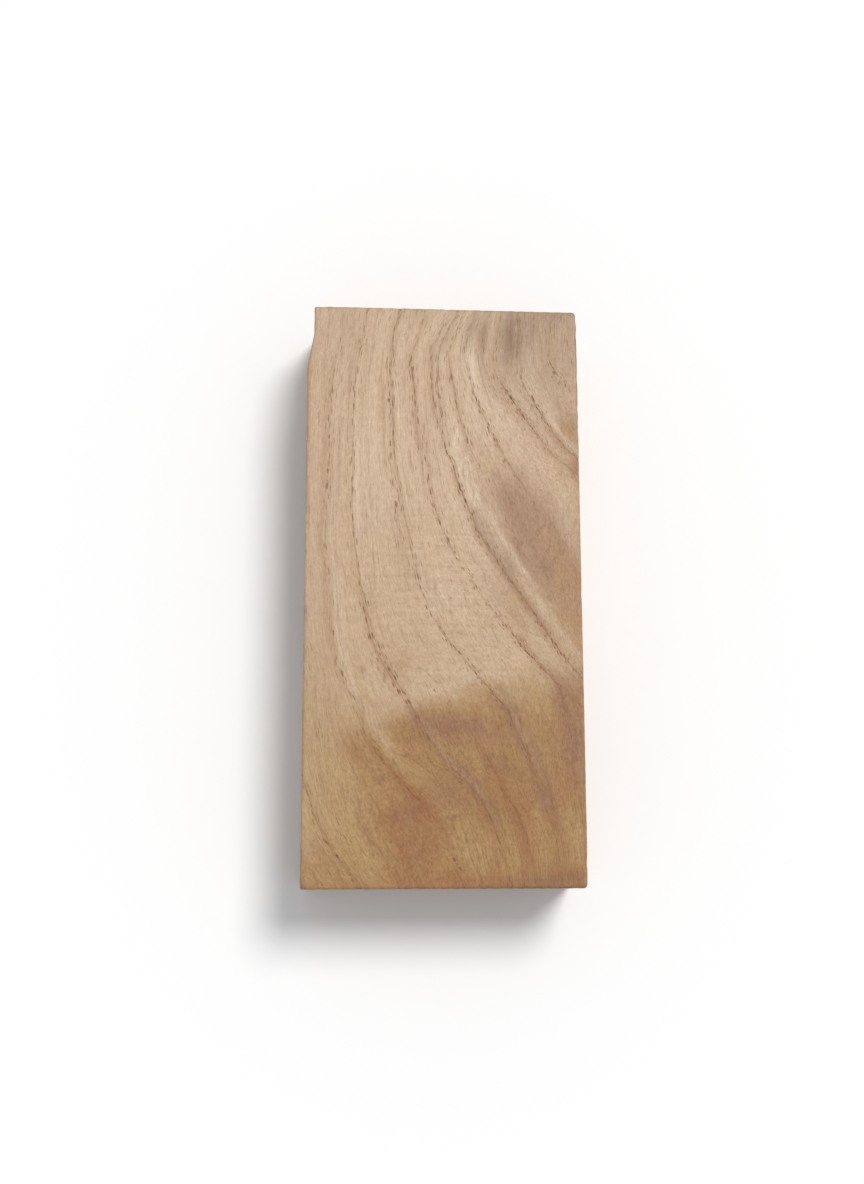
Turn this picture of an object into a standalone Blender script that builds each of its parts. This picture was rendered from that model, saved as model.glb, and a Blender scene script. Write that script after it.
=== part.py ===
"""A sawn hardwood blank: one rectangular block of solid wood, lying flat on its widest face.

Metres, +Z up. X runs across the blank, Y along it, and the origin is the middle of the underside.
"""
import math

import bmesh
import bpy

# Driving dimensions
LENGTH = 0.150
WIDTH = 0.071
THICKNESS = 0.025

# The upright corners are rounded more on the right than on the left
RIGHT_CORNER_RADIUS = 0.0010
LEFT_CORNER_RADIUS = 0.0004
CORNER_STEPS = 5

# Every long and short arris is eased by sanding
ARRIS_EASING = 0.0005
ARRIS_STEPS = 3

# A saw cut has taken a sliver off the left side at the far end
NOTCH_DEPTH = 0.0017
NOTCH_STRAIGHT = 0.0075
NOTCH_SLANT = 0.0090

ARRIS_ANGLE = math.radians(50)
WELD_DISTANCE = 0.00001

NODE_NAME = "wood_blank"
WOOD_COLOUR = (0.50, 0.34, 0.20, 1.0)
WOOD_ROUGHNESS = 0.6


def clear_scene():
    for thing in list(bpy.data.objects):
        bpy.data.objects.remove(thing, do_unlink=True)


def new_collection(name):
    collection = bpy.data.collections.new(name)
    bpy.context.scene.collection.children.link(collection)
    return collection


def rounded_corner(x, y, radius, start_angle):
    """Points of a quarter circle inside the corner at x, y, anticlockwise from start_angle."""
    centre_x = x - math.copysign(radius, x)
    centre_y = y - math.copysign(radius, y)
    points = []
    for step in range(CORNER_STEPS + 1):
        angle = start_angle + math.pi / 2 * step / CORNER_STEPS
        points.append((
            centre_x + radius * math.cos(angle),
            centre_y + radius * math.sin(angle),
        ))
    return points


def blank_outline():
    """The blank seen from above, anticlockwise from its near left corner."""
    half_width = WIDTH / 2
    half_length = LENGTH / 2
    notch_x = -half_width + NOTCH_DEPTH
    notch_y = half_length - NOTCH_STRAIGHT
    outline = rounded_corner(-half_width, -half_length, LEFT_CORNER_RADIUS, math.pi)
    outline += rounded_corner(half_width, -half_length, RIGHT_CORNER_RADIUS, 1.5 * math.pi)
    outline += rounded_corner(half_width, half_length, RIGHT_CORNER_RADIUS, 0.0)
    outline += rounded_corner(notch_x, half_length, LEFT_CORNER_RADIUS, 0.5 * math.pi)
    outline.append((notch_x, notch_y))
    outline.append((-half_width, notch_y - NOTCH_SLANT))
    return outline


def extruded_outline(outline, thickness):
    """A filled flat curve with straight upright sides, standing on z = 0."""
    curve = bpy.data.curves.new("outline", "CURVE")
    curve.dimensions = "2D"
    curve.fill_mode = "BOTH"
    curve.extrude = thickness / 2
    spline = curve.splines.new("POLY")
    spline.points.add(len(outline) - 1)
    for point, (x, y) in zip(spline.points, outline):
        point.co = (x, y, 0.0, 1.0)
    spline.use_cyclic_u = True
    shape = bpy.data.objects.new("outline", curve)
    shape.location.z = thickness / 2
    bpy.context.scene.collection.objects.link(shape)
    bpy.context.view_layer.update()
    return shape


def welded_solid(shape, name, collection):
    """The extruded curve as a mesh object, with its caps joined to its sides."""
    evaluated = shape.evaluated_get(bpy.context.evaluated_depsgraph_get())
    mesh = bpy.data.meshes.new_from_object(evaluated)
    work = bmesh.new()
    work.from_mesh(mesh)
    bmesh.ops.remove_doubles(work, verts=work.verts, dist=WELD_DISTANCE)
    work.to_mesh(mesh)
    work.free()
    mesh.name = name
    solid = bpy.data.objects.new(name, mesh)
    solid.matrix_world = shape.matrix_world
    collection.objects.link(solid)
    curve = shape.data
    bpy.data.objects.remove(shape, do_unlink=True)
    bpy.data.curves.remove(curve)
    return solid


def ease_arrises(solid):
    """Rounds the edges of both wide faces, and leaves the upright corners as they are."""
    bevel = solid.modifiers.new("eased_arrises", "BEVEL")
    bevel.width = ARRIS_EASING
    bevel.segments = ARRIS_STEPS
    bevel.limit_method = "ANGLE"
    bevel.angle_limit = ARRIS_ANGLE
    solid.data.shade_smooth()
    solid.data.set_sharp_from_angle(angle=ARRIS_ANGLE)


def wood_material():
    material = bpy.data.materials.new("hardwood")
    material.use_nodes = True
    shader = material.node_tree.nodes["Principled BSDF"]
    shader.inputs["Base Color"].default_value = WOOD_COLOUR
    shader.inputs["Roughness"].default_value = WOOD_ROUGHNESS
    shader.inputs["Metallic"].default_value = 0.0
    material.diffuse_color = WOOD_COLOUR
    return material


def build_blank():
    collection = new_collection("hardwood_blank")
    shape = extruded_outline(blank_outline(), THICKNESS)
    solid = welded_solid(shape, NODE_NAME, collection)
    ease_arrises(solid)
    solid.data.materials.append(wood_material())
    return solid


clear_scene()
build_blank()
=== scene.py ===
"""The looks of a sawn hardwood blank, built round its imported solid.

Sizes are in millimetres, and the mesh is turned to metres at the end. X runs across the blank, Y along it
and Z up, with the origin in the middle of the underside.
"""

from collections import namedtuple
import math

import bpy
import numpy as np
from mathutils import Matrix, Vector


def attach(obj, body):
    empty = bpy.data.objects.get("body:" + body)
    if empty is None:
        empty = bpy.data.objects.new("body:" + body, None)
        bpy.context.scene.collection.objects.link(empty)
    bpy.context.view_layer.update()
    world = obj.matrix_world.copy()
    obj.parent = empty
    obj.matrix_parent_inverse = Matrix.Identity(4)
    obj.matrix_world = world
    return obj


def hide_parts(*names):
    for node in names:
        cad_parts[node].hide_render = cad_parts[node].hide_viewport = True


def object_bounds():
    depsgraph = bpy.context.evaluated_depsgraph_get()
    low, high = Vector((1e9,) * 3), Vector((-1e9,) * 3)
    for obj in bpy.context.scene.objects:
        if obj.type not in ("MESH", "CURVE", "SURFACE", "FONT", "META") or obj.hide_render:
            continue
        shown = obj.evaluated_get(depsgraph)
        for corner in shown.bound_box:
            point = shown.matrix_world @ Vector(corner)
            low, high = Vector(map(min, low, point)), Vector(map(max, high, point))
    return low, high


MM = 0.001

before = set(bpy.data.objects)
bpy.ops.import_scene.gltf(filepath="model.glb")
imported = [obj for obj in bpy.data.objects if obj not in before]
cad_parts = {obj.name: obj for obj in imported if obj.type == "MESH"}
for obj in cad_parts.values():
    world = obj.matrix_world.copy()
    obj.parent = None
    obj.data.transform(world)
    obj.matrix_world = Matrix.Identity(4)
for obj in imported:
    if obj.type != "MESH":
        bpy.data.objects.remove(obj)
cad_low, cad_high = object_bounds()

HALF_WIDTH = (cad_high.x - cad_low.x) / MM / 2
HALF_LENGTH = (cad_high.y - cad_low.y) / MM / 2
TOP = cad_high.z / MM

# The tree's pith runs along Y, beyond the right side and below the underside
PITH_X = 95.0
PITH_Z = -22.0

# The growth lines lean along the blank with depth, and wander a little below the top face
LINE_LEAN = 0.22
LINE_WANDER = 0.8
WANDER_DEPTH = 12.0


# A growth line where it crosses the top face: points are (x, y) from far to near, strength has (y, darkness)
# knots, and broken goes from 0, an unbroken line, to 1, a row of pores. A main line has its place across the
# grain. The others run between two main lines, and past their points they keep their share of the gap.
Line = namedtuple("Line", "name points strength broken grain between", defaults=(0.5, None, None))

LINES = [
    Line("far_left", [
        (-45, 75), (-47, 40), (-47, 0), (-43, -25), (-37, -44), (-34.6, -50), (-32.4, -56.5), (-29.5, -63),
        (-26, -67.8), (-21, -75)
    ], [(75, 0.2), (-40, 0.2), (-48, 0.7), (-60, 0.8), (-75, 0.8)], grain=-8, broken=0.6),
    Line("left_faint", [
        (-36, 75), (-37.5, 40), (-37, 10), (-34, -15), (-32.3, -24), (-32, -32), (-30.3, -43.5), (-28, -54),
        (-26, -60), (-22.5, -66), (-16, -75)
    ], [(75, 0.1), (-10, 0.15), (-30, 0.25), (-60, 0.25), (-75, 0.1)], grain=0),
    Line("pore_row", [
        (-26.2, 75), (-27, 66), (-28.4, 58), (-29.2, 50), (-29.6, 40), (-30.1, 28), (-30, 19.5),
        (-30.3, 11.5), (-29.4, 6), (-28.5, -3), (-28, -11.8), (-25.8, -22), (-22.7, -29.6), (-19.5, -38),
        (-14.5, -44.8), (-9, -51), (-3, -57.5), (3, -67), (8, -76)
    ], [
        (75, 0.3), (60, 0.4), (30, 0.65), (0, 0.55), (-10, 0.5), (-25, 0.55), (-33, 0.5), (-40, 0.8),
        (-48, 0.5), (-60, 0.3), (-75, 0.2)
    ], grain=12, broken=0.65),
    Line("low_faint", [
        (-0.5, -50), (2.5, -53), (7, -60.5), (10.5, -69), (12, -75)
    ], [(-46, 0), (-55, 0.3), (-75, 0.3)], between=("pore_row", "long_thin")),
    Line("long_thin_twin", [
        (-21.5, 0), (-20.8, -3), (-19.2, -10.5), (-17, -16.5), (-14, -22), (-10.8, -27.5)
    ], [
        (3, 0), (-3, 0.6), (-16, 0.8), (-22, 0.9), (-27, 0.7), (-32, 0.3), (-40, 0)
    ], broken=0.3, between=("pore_row", "long_thin")),
    Line("long_thin", [
        (-19.7, 75), (-21, 67), (-22.3, 61), (-23.1, 54), (-23.4, 45), (-23.5, 32), (-23.5, 19), (-22.7, 11),
        (-21.6, 3), (-19.4, -6), (-17.8, -12.5), (-15.3, -18), (-12.5, -23), (-9.5, -28.3), (-6.5, -33.5),
        (-3.5, -39), (0.8, -44.5), (5.7, -49.3), (9.7, -54.8), (12.5, -61), (14.8, -68.3), (16.6, -75)
    ], [
        (75, 0.4), (66, 0.65), (45, 0.75), (10, 0.8), (-25, 0.65), (-35, 0.7), (-45, 0.35), (-55, 0.5),
        (-65, 0.45), (-70, 0.7), (-75, 0.8)
    ], grain=21, broken=0.25),
    Line("low_streak", [
        (2, -30), (8, -39), (12, -45.5), (15.3, -52), (18.5, -57.5), (20.3, -63.5), (22.5, -75)
    ], [
        (0, 0), (-30, 0.1), (-40, 0.3), (-58, 0.5), (-62, 0.3), (-75, 0.3)
    ], broken=0.2, between=("long_thin", "middle")),
    Line("middle_twin", [
        (-14.9, 57), (-13.8, 46), (-13.9, 34), (-12.6, 25.5), (-11.8, 18), (-10.6, 10), (-8.3, 0)
    ], [
        (75, 0.1), (57, 0.3), (50, 0.8), (44, 0.5), (38, 0.7), (34, 0.4), (22, 0.7), (10, 0.4), (0, 0)
    ], broken=0.9, between=("long_thin", "middle")),
    Line("middle", [
        (-11.2, 75), (-12.7, 69), (-13.5, 61), (-13.8, 58), (-13.3, 52), (-13.1, 43), (-12.5, 32),
        (-11.2, 25.5), (-9.9, 17.5), (-8.5, 12.8), (-7.4, 6.5), (-6.2, 0.3), (-4.6, -3.3), (-3.1, -7),
        (-0.8, -11), (4, -16.8), (7.5, -21.2), (12, -26.5), (15.3, -30.3), (17.4, -35.3), (20, -40.5),
        (22.2, -46), (24.2, -53), (26.5, -59.5), (28.2, -66), (28.6, -75)
    ], [
        (75, 0.6), (60, 0.65), (50, 0.5), (38, 0.7), (25, 0.3), (15, 0.6), (8, 0.5), (1, 0.9), (-5, 1),
        (-8, 0.7), (-12, 0.9), (-30, 0.9), (-40, 0.5), (-55, 0.3), (-75, 0.3)
    ], grain=35, broken=0.4),
    Line("short_top", [
        (-5.6, 75), (-5.6, 71), (-6.8, 66.5), (-8.4, 61.6), (-7.7, 54), (-7.4, 47.5), (-6.6, 38), (-5.2, 30.5)
    ], [
        (75, 0.3), (64, 0.6), (58, 1.1), (50, 1), (44, 0.9), (38, 0.4), (30, 0.2), (25, 0)
    ], broken=0.4, between=("middle", "inner")),
    Line("inner", [
        (-1.5, 75), (-3.6, 70), (-5.2, 65), (-5.9, 60), (-6, 54), (-5.8, 48), (-5.3, 42), (-4.4, 34.5),
        (-3.4, 25.3), (-1.1, 17.2), (0.8, 12.5), (3.6, 7), (6.3, 3.3), (10, -2.7), (14.3, -8), (17.9, -12.3),
        (21.3, -16.5), (25, -20.5), (28, -23.8), (30.5, -29), (32.5, -35), (34, -41), (35.5, -50), (37, -62),
        (38, -76)
    ], [
        (50, 0), (43, 0.4), (36, 0.7), (25, 0.8), (17, 0.7), (12, 0.7), (5, 0.6), (0, 0.7), (-8, 0.6),
        (-14, 1.2), (-17, 1.2), (-20, 0.8), (-24, 0.9), (-30, 0.3), (-45, 0.4), (-75, 0.2)
    ], grain=46),
    Line("strong_twin", [
        (-2.9, 62), (-2.7, 50), (-2.4, 46), (-0.8, 42), (-0.3, 38)
    ], [(70, 0.3), (60, 0.7), (50, 0.7), (42, 0.5), (36, 0)], between=("inner", "strong")),
    Line("strong", [
        (4.3, 75), (2, 70.5), (0, 66), (-1, 63.5), (-1.5, 57.5), (-1.4, 52), (-0.4, 46), (0.1, 40), (0.7, 36),
        (2.2, 33), (3.4, 28.3), (5, 24.2), (6.8, 20), (8.8, 15), (11.3, 10.8), (15.1, 4.8), (18.7, -0.3),
        (23.2, -6.7), (27.7, -13.5), (32, -19.5), (35.5, -23.5), (41, -31), (47, -42), (52, -56), (56, -76)
    ], [
        (75, 0.2), (66, 0.5), (60, 0.8), (50, 0.8), (42, 0.7), (34, 0.9), (28, 1.3), (22, 1.3), (15, 0.8),
        (5, 0.6), (-8, 0.7), (-14, 1.2), (-17, 1.1), (-20, 0.6), (-75, 0.4)
    ], grain=54, broken=0.25),
    Line("right_thin", [
        (5.9, 75), (3.4, 68), (2.2, 65), (1.8, 58.5), (2.9, 52), (4.3, 44.8), (6.3, 39), (9, 32.5),
        (12.5, 25.5), (14, 21.5)
    ], [
        (75, 0.2), (65, 0.6), (55, 0.9), (45, 0.7), (36, 0.7), (30, 0.3), (21, 0)
    ], broken=0.4, between=("strong", "right_first")),
    Line("right_first", [
        (8.8, 75), (6.5, 69), (5.6, 63), (7, 56), (8.7, 49.7), (10.8, 45), (13.4, 39.5), (16.5, 33.5),
        (19.6, 28.6), (22.5, 24), (27, 16), (32, 7), (37, -2), (43, -12), (50, -25), (57, -42), (64, -76)
    ], [
        (75, 0.1), (60, 0.4), (55, 0.9), (44, 1), (37, 0.9), (32, 0.8), (26, 0.4), (22, 0.1), (0, 0.1),
        (-75, 0.3)
    ], grain=63, broken=0.4),
    Line("right_faint", [
        (11.4, 75), (10.5, 64), (11.2, 57.5), (13.5, 52)
    ], [(75, 0.3), (62, 0.4), (52, 0.3), (45, 0)], between=("right_first", "right_second")),
    Line("right_second", [
        (15.5, 75), (14, 66), (13, 61), (14.8, 55.5), (17.7, 50.8), (20.7, 46.2), (25, 40.3), (29, 35),
        (33, 32), (38, 27.5), (45, 20), (52, 10), (58, -4), (64, -24), (69, -45), (73, -76)
    ], [
        (75, 0.2), (60, 0.4), (55, 0.7), (50, 1.2), (45, 1.1), (40, 0.6), (36, 0.7), (31, 0.4), (-75, 0.4)
    ], grain=72, broken=0.4),
    Line("right_third", [
        (20, 75), (19.5, 66), (19.5, 60), (21.6, 53.3), (25, 47.8), (29, 41), (33, 36.3), (37, 33), (46, 27),
        (54, 18), (61, 4), (67, -18), (73, -42), (78, -76)
    ], [
        (75, 0.2), (60, 0.4), (54, 0.8), (50, 1.1), (45, 0.9), (40, 0.5), (35, 0.8), (-75, 0.4)
    ], grain=77.5, broken=0.55),
    Line("right_dots", [
        (28.2, 75), (27.8, 66), (28.4, 60), (31.3, 56.3), (34, 51.5), (36.5, 47.5), (44, 40), (53, 32),
        (61, 20), (67, 6), (72, -12), (78, -40), (84, -76)
    ], [(75, 0.1), (60, 0.6), (55, 0.5), (50, 0.4), (-75, 0.4)], grain=86.5, broken=1),
    Line("past_right", [
        (37, 75), (36.5, 66), (38, 58), (42, 51), (50, 43), (60, 34), (68, 22), (74, 6), (80, -20), (87, -76)
    ], [(75, 0.5), (-75, 0.5)], grain=94, broken=0.4),
    Line("deep_right", [
        (46, 75), (46, 66), (48, 58), (53, 50), (61, 42), (69, 32), (76, 18), (81, 0), (89, -76)
    ], [(75, 0.5), (-75, 0.5)], grain=102, broken=0.4),
    Line("deepest_right", [
        (54, 75), (55, 60), (62, 48), (70, 38), (77, 26), (83, 8), (91, -76)
    ], [(75, 0.4), (-75, 0.4)], grain=108, broken=0.4),
]
LINE_NUMBER = {line.name: number for number, line in enumerate(LINES)}
MAIN_LINES = [number for number, line in enumerate(LINES) if line.between is None]

# Neighbouring lines are never in the same set, so that each set's distances stay smooth near its lines
LINE_SETS = 3
SMALLEST_GAP = 0.35

# A line's strength fades out between these distances from it
LINE_FADE = (1.32, 2.2)

# Well below the top face, no line is weaker than this
DEEP_STRENGTH = 0.45
DEEP_RANGE = (2.0, 10.0)

# Pores and pits that stand alone on the top face: x, y, length, width, darkness
PITS = [
    (-14.3, 49.5, 1, 0.55, 1), (-12.3, 21.7, 1.6, 0.5, 1), (1.1, 12.6, 1.4, 0.5, 1),
    (-8, 58.3, 1.2, 0.5, 0.8), (-30.1, 26.3, 1.5, 0.5, 0.9), (-29.9, 30.3, 1.1, 0.45, 0.8),
    (-29.6, 39.5, 1, 0.4, 0.6), (-28.9, 51.7, 1.2, 0.4, 0.6), (-3.4, 25.2, 1.2, 0.4, 0.8),
    (-1.1, 17.2, 1.2, 0.4, 0.6), (-2.4, 21.5, 0.9, 0.35, 0.5), (-13.5, 53.5, 0.9, 0.35, 0.5),
    (-28, -11.8, 1.2, 0.4, 0.8), (-25.7, -22, 1.6, 0.5, 0.9), (-26.5, -67, 0.8, 0.5, 1),
    (2.2, -67.9, 0.9, 0.5, 0.9), (3.8, -70.2, 0.9, 0.4, 0.8), (7, 56, 1, 0.4, 0.7),
    (17.7, 51, 0.9, 0.6, 0.9), (20.7, 46, 0.8, 0.5, 0.7), (23.6, 50.7, 1.6, 0.5, 1),
    (29.3, 58, 0.8, 0.6, 0.9), (32.2, 54.6, 0.7, 0.4, 0.7), (-2.5, -26.2, 0.7, 0.5, 0.7),
]
PIT_FADE = (0.8, 1.6)
PIT_DEPTHS = (0.3, 1.5)

# Colours as they show in even white light, red, green and blue from 0 to 255
PALE = (203, 175, 145)
WOOD_TONES = {
    "gold": (161, 121, 77),
    "olive": (178, 145, 98),
    "red": (151, 102, 62),
    "violet": (150, 109, 81),
    "rust": (160, 108, 72),
    "rose": (169, 135, 106),
    "grey": (200, 182, 162),
    "dusk": (160, 131, 105),
    "smudge": (138, 108, 83),
    "tan": (170, 131, 95),
    "light": (222, 200, 174),
    "edge": (190, 141, 97),
}
LINE_ATTRIBUTES = ("line_distance", "line_strength", "line_broken")
TONE_ATTRIBUTES = ("tones_a", "tones_b", "tones_c", "tones_d")
END_TONE = (172, 130, 92)
LINE_TONE = (120, 79, 48)
PORE_TONE = (136, 97, 64)

# How strongly red, green and blue follow a change of light in the wood
SHADE_TINT = (0.8, 1.0, 1.15)
FLOOR_TONE = 0.86

# The golden zone starts at this line across the top face, with the softness of its edge there
GOLD_FRONT = [(-36, -60), (-30, -50), (-25, -39), (-18, -33.5), (-13, -32), (-9, -31.6), (-4, -30),
              (5, -27.5), (12, -26.5), (19, -28), (26, -26.5), (30, -24), (36, -22)]
GOLD_SOFTNESS = [(-36, 30), (-30, 24), (-24, 15), (-17, 10), (-10, 4), (10, 4), (20, 5), (36, 5)]
GOLD_SHARE = [(-36, 0.3), (-27, 0.4), (-21, 0.75), (-15, 1.0), (36, 1.0)]
GOLD_DEPTH_SLOPE = 0.35
GOLD_DEPTH_SOFTNESS = 0.3

# Soft patches of each tone on the top face: x, y, half width, half length, turn in degrees, amount
PATCHES = {
    "dusk": [
        (-33, 0, 5, 50, 0, 0.22), (29, 67, 9, 12, 0, 0.6), (16, 60, 7, 8, 0, 0.3),
        (9, 67.5, 2, 4, -10, 0.35), (30, 74, 7, 2, 0, 0.35), (20.6, 69.5, 0.9, 3.5, -6, 0.35),
        (14, 71.5, 4.5, 4.5, 0, 0.28), (1.5, 69, 1.1, 5, -25, 0.3), (23.5, 68, 1, 6, -4, 0.3),
        (30, 45, 5, 9, 40, 0.34), (17.4, 65.5, 3, 4.5, 0, 0.3), (14.5, -1, 2.6, 5, 25, 0.35),
        (-26, 70, 6, 8, 0, 0.2), (-6, 73, 2.5, 3, 0, 0.3),
    ],
    "tan": [
        (-17, 4, 6, 14, 10, 0.16), (11, 35.3, 1.5, 3, 15, 0.45), (32, 3, 4.5, 14, 26, 0.5),
        (-12, -20, 4, 3.5, 0, 0.35), (31.5, -10, 3.6, 7, 20, 0.6), (19, -8, 2, 5, 35, 0.35),
        (20, -3, 1.8, 3.5, 30, 0.4), (32, 41.8, 3, 3.6, 0, 0.9), (31.5, 32, 2, 2.5, 0, 0.35),
        (0, -19, 36, 13, 0, 0.13), (35.5, 8, 1.8, 28, 0, 0.35),
    ],
    "smudge": [
        (17.7, 68, 1.2, 4.5, -5, 0.8), (18.6, 63.5, 1.1, 3, -12, 0.4), (19, 72.5, 0.8, 3, -14, 0.3),
        (7.1, 69, 0.9, 4, -14, 0.55), (10.8, 66, 0.7, 5, -10, 0.3), (13.5, 29.5, 1.4, 1.5, 20, 0.2),
        (19.5, 19, 0.7, 6, 25, 0.3), (23, 11, 0.7, 7, 28, 0.25), (-9.5, -57, 2.8, 2.2, 20, 0.32),
        (-8, -67, 2, 3, 0, 0.25), (27, -73.8, 9, 1.6, 0, 0.55),
    ],
    "light": [
        (13, 69, 0.6, 4, -8, 0.3), (23.6, 61.5, 1.8, 4.5, 0, 0.25), (24.5, 51.5, 1.6, 7, 33, 0.4),
        (14.5, 47, 2, 9, 30, 0.25), (9.6, 24.5, 1.4, 3.5, 25, 0.5), (-28.7, 21, 0.8, 5, 0, 0.25),
        (-20, 31, 3.5, 13, 0, 0.25), (-10, 36, 3, 12, 0, 0.1), (-2, -3, 3, 4, 20, 0.2),
        (7.5, 59.5, 1.4, 6, 3, 0.65), (4, 36, 1.4, 8, 12, 0.2), (9.2, 43.5, 2.2, 6.5, 18, 0.28),
        (7, 18, 1.8, 8, 28, 0.15),
    ],
    "rose": [
        (19.4, 30.5, 1.8, 2.5, 30, 0.3), (15.2, 25, 2.7, 4.4, 25, 0.45), (20.5, 17.5, 3.8, 8, 26, 0.85),
        (23.6, 4.5, 3, 9, 33, 0.68), (26.5, 16.5, 4.4, 10.5, 28, 0.75), (31.5, 4, 4.6, 11, 32, 0.75),
    ],
    "grey": [
        (33.5, 13, 1.8, 9, 28, 0.3),
    ],
    "rust": [
        (33.6, 42.8, 2.6, 1.2, 0, 0.75), (35, 32.6, 1.5, 3, 0, 1),
    ],
    "olive": [
        (-30, -50, 9, 22, 10, 0.75), (-19.5, -64.5, 5, 8, 30, 0.45), (-20, -41, 3.5, 8, 24, 0.55),
        (-11, -45, 2.2, 8, 40, 0.6), (5.5, -65, 4.5, 6, 20, 0.6), (23, -65, 2.2, 8, 4, 0.55),
        (33, -63, 2.4, 7, 0, 0.7), (11, -26, 7, 2, 12, 0.6), (23.8, -27.5, 4.6, 5, 0, 0.8),
        (5, -41, 6, 2.4, 0, 0.35), (2, -31, 7.5, 1.6, 0, 0.45),
    ],
    "gold": [
        (-25, -73, 13, 8, 0, 0.8),
    ],
    "red": [
        (-9.5, -56.8, 5.8, 3.4, 30, 1), (-8, -66.5, 3, 4.5, 15, 1), (-2.5, -63, 2.8, 4, 25, 0.5),
        (21, -38, 2, 4, 25, 0.3), (27, -50, 2, 5, 8, 0.35), (8, -53, 3, 6, 30, 0.35),
        (-22.5, -41, 2.2, 4.5, 25, 0.5), (-16.5, -48, 2.6, 5, 30, 0.4), (27.5, -56, 1.6, 3, 10, 0.5),
        (0, -73.5, 5, 1.8, 0, 0.6), (14, -73.5, 8, 1.6, 0, 0.5), (31, -72.5, 5, 2.2, 0, 0.85),
        (14, -74.6, 24, 0.9, 0, 0.7), (2, -36, 9, 2.4, 0, 0.25),
    ],
    "violet": [
        (3.2, -35.5, 8.4, 2.5, -3, 0.95), (32.5, -35, 3, 12, 8, 0.7), (1.5, -51, 4, 4, 0, 0.35),
    ],
}
PATCH_DEPTH = 14.0
PATCH_FALL = 0.6

# Clouds of tone below the patches: tone, seed, size in mm, least amount, swing, and the part they keep to
DEEP_CLOUDS = [
    ("dusk", 11, 14, 0.2, 0.45, "all"), ("light", 12, 11, 0, 0.25, "all"),
    ("red", 13, 12, 0, 0.3, "gold"),
]

# A thin greyer rim of painted shade along the far and right edges of the top face
RIM_WIDTH = 0.45
RIM_DEPTH = 2.0
RIM_SHADE = 0.75

# Bands of each tone beside a line: line, distance to its right, half width, from y, to y, amount
BANDS = {
    "dusk": [
        ("strong", 0.2, 1.1, 19, -12, 0.85), ("strong", 0.4, 0.5, 34, 18, 0.2),
        ("strong", 2, 1, 20, 2, 0.45),
    ],
    "tan": [
        ("strong", -0.5, 0.5, 30, -16, 0.35), ("inner", 0.5, 0.8, -11, -26, 0.5),
        ("inner", -0.4, 0.7, 45, 8, 0.16), ("long_thin", -0.8, 0.8, 65, -26, 0.25),
        ("pore_row", -0.9, 0.8, 60, -28, 0.3), ("middle", -1.4, 1.3, 28, 0, 0.12),
        ("middle", -0.6, 0.7, 72, 28, 0.16), ("short_top", -0.2, 0.8, 66, 36, 0.3),
        ("right_thin", 0, 0.6, 62, 40, 0.3), ("right_first", -0.2, 0.6, 54, 26, 0.25),
        ("right_second", -0.3, 1.2, 58, 32, 0.25), ("right_third", -0.8, 1.4, 56, 34, 0.25),
    ],
    "light": [
        ("strong", 4, 0.7, 18, 2, 0.45), ("strong", 2.6, 0.9, -1, -17, 0.3),
        ("strong", 2.1, 1.4, 42, 22, 0.5), ("right_second", 1.7, 0.7, 54, 36, 0.3),
        ("middle", 1, 0.35, -24, -48, 0.12), ("long_thin", 0.9, 0.35, -33, -62, 0.12),
        ("pore_row", 3.2, 1.6, -30, -42, 0.16), ("right_third", 1.4, 0.6, 47, 36, 0.5),
        ("long_thin", 1.2, 0.7, 60, 0, 0.22), ("pore_row", 1.5, 0.8, 10, -28, 0.3),
        ("middle", 1, 0.7, 60, 0, 0.15),
    ],
    "rose": [
        ("strong", 5.7, 0.8, 14, -2, 0.4),
    ],
    "rust": [
        ("strong_twin", 0, 0.5, 62, 44, 0.4),
    ],
    "violet": [
        ("middle", 0.6, 2.2, -27, -60, 0.45), ("long_thin", 0.6, 1.4, -29, -46, 0.4),
        ("inner", 0, 1.6, -20, -50, 0.5),
    ],
    "smudge": [
        ("middle", 0.1, 0.6, -28, -58, 0.2), ("middle", 2, 0.7, -25, -56, 0.36),
        ("long_thin", -0.1, 0.5, -30, -62, 0.22), ("long_thin", 1.8, 0.6, -42, -60, 0.34),
    ],
    "red": [
        ("long_thin", 0.4, 1.6, -50, -62, 0.5), ("pore_row", 0.2, 1.2, -38, -60, 0.75),
        ("low_streak", 0, 1.2, -40, -70, 0.7), ("low_streak", -2.6, 0.9, -44, -64, 0.35),
        ("middle", -3.4, 0.9, -46, -66, 0.35),
    ],
    "olive": [
        ("low_streak", -3, 1.2, -58, -75, 0.4), ("middle", 3.2, 1.2, -36, -60, 0.45),
    ],
}
BAND_FADE = 4.0


def smooth_step(low, high, value):
    share = np.clip((value - low) / (high - low), 0.0, 1.0)
    return share * share * (3.0 - 2.0 * share)


def cubic(share, width, low, high, low_slope, high_slope):
    """The cubic with these end values and slopes, at a share from 0 to 1 of its width."""
    square = share * share
    cube = square * share
    return (
        low * (2 * cube - 3 * square + 1)
        + high * (3 * square - 2 * cube)
        + width * (low_slope * (cube - 2 * square + share) + high_slope * (cube - square))
    )


def smooth_curve(knots, places, hold=False):
    """A smooth curve through (place, value) knots. Past its ends it runs on straight, or holds its value."""
    at, value = np.array(sorted(knots), float).T
    if hold:
        places = np.clip(places, at[0], at[-1])
    step = np.diff(at)
    secant = np.diff(value) / step
    inner = (secant[:-1] * step[1:] + secant[1:] * step[:-1]) / (step[1:] + step[:-1])
    slope = np.array([secant[0], *inner, secant[-1]])
    index = np.clip(np.searchsorted(at, places) - 1, 0, len(step) - 1)
    width = step[index]
    share = (places - at[index]) / width
    inside = np.clip(share, 0.0, 1.0)
    curve = cubic(inside, width, value[index], value[index + 1], slope[index], slope[index + 1])
    past_start = np.minimum(share, 0.0) * width * slope[index]
    past_end = np.maximum(share - 1.0, 0.0) * width * slope[index + 1]
    return curve + past_start + past_end


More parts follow.
